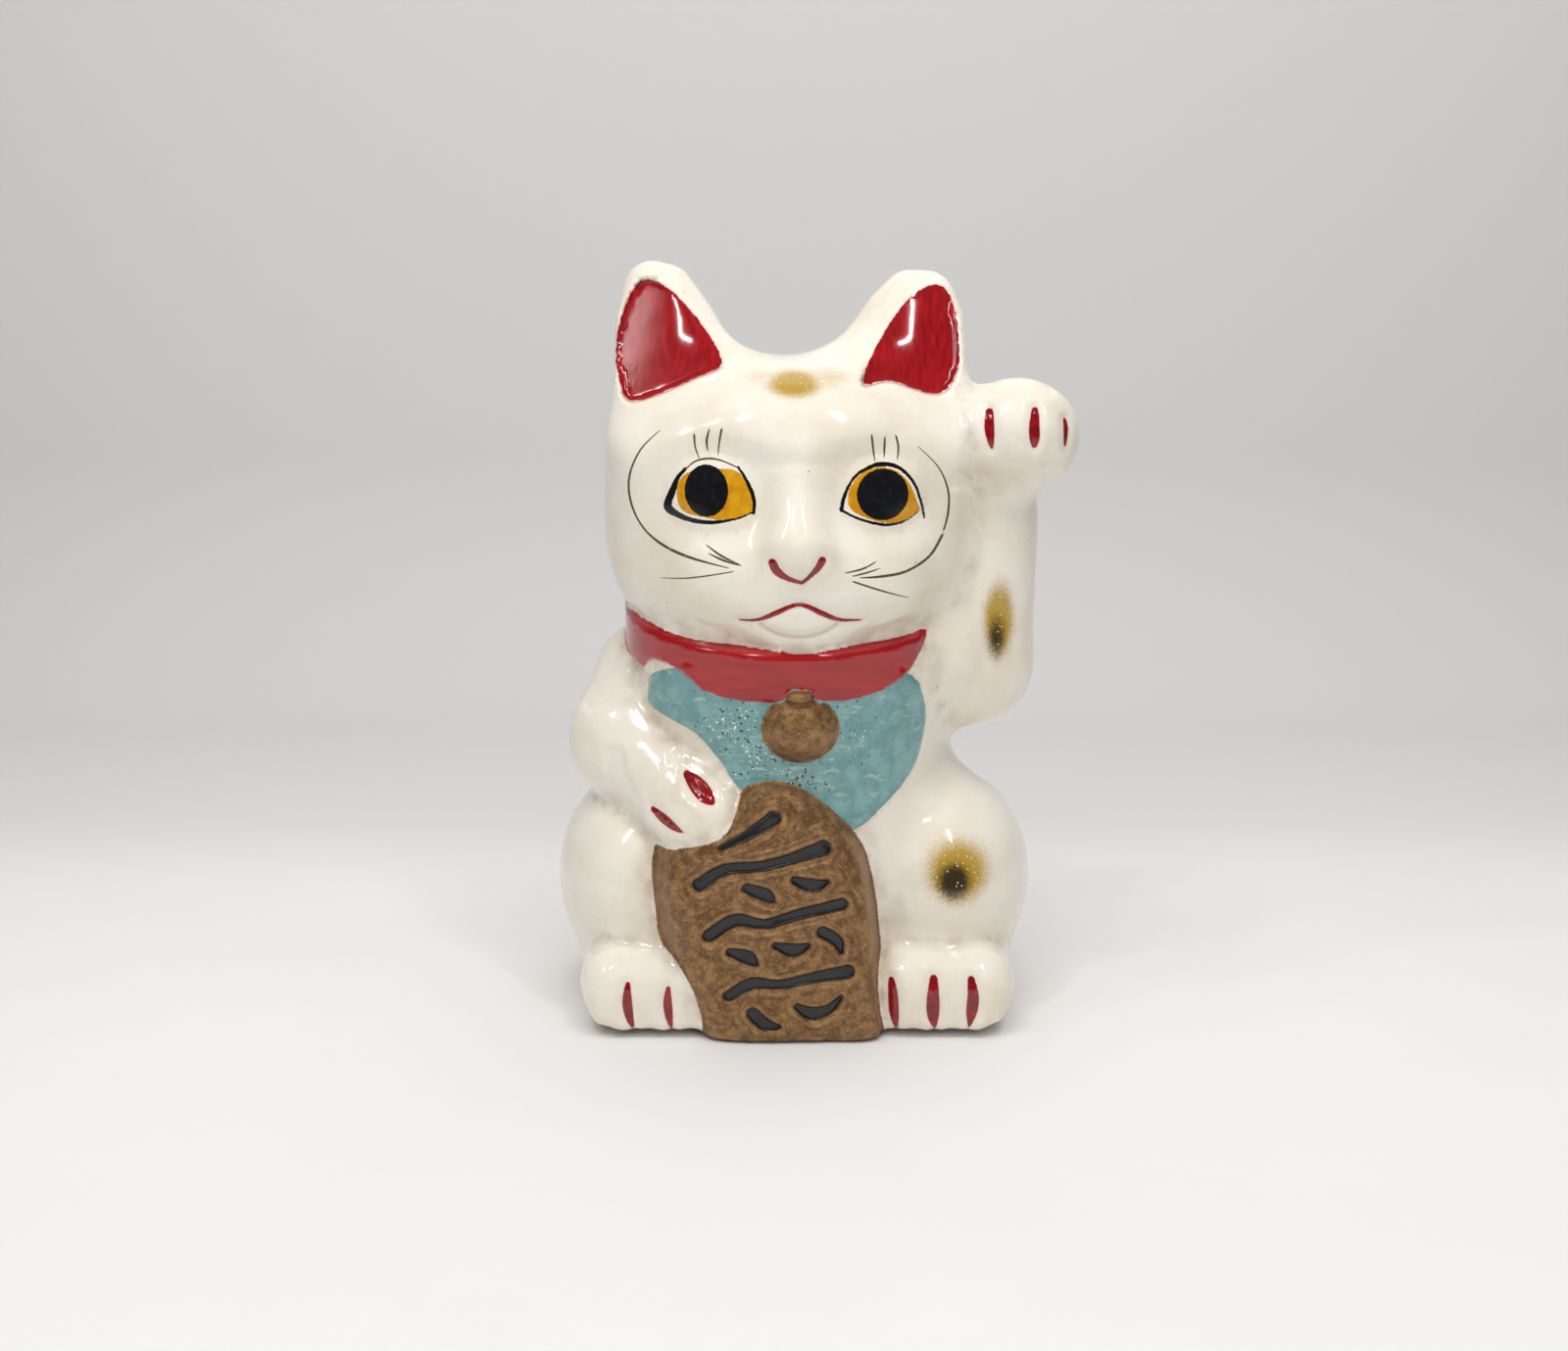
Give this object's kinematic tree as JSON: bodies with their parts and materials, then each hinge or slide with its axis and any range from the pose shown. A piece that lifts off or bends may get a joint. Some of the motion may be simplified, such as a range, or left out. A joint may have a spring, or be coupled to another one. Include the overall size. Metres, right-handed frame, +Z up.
{
  "type": "coin bank",
  "caption": "Hollow glazed ceramic coin bank in the shape of a seated beckoning cat, with a coin slot in the back of the head and a stoppered hole in the base.",
  "frame": {"origin": "centre of the bottom of the whole part's box, on the surface that it stands on", "axes": "+Z up, -Y is the way the cat faces, +X is towards its raised paw, on the viewer's right"},
  "size_m": [0.1678, 0.1314, 0.24],
  "materials": {
    "glaze": "glossy",
    "rubber": "matte"
  },
  "bodies": {
    "root": {"cat_body": "glaze", "stopper": "rubber"}
  },
  "joints": []
}
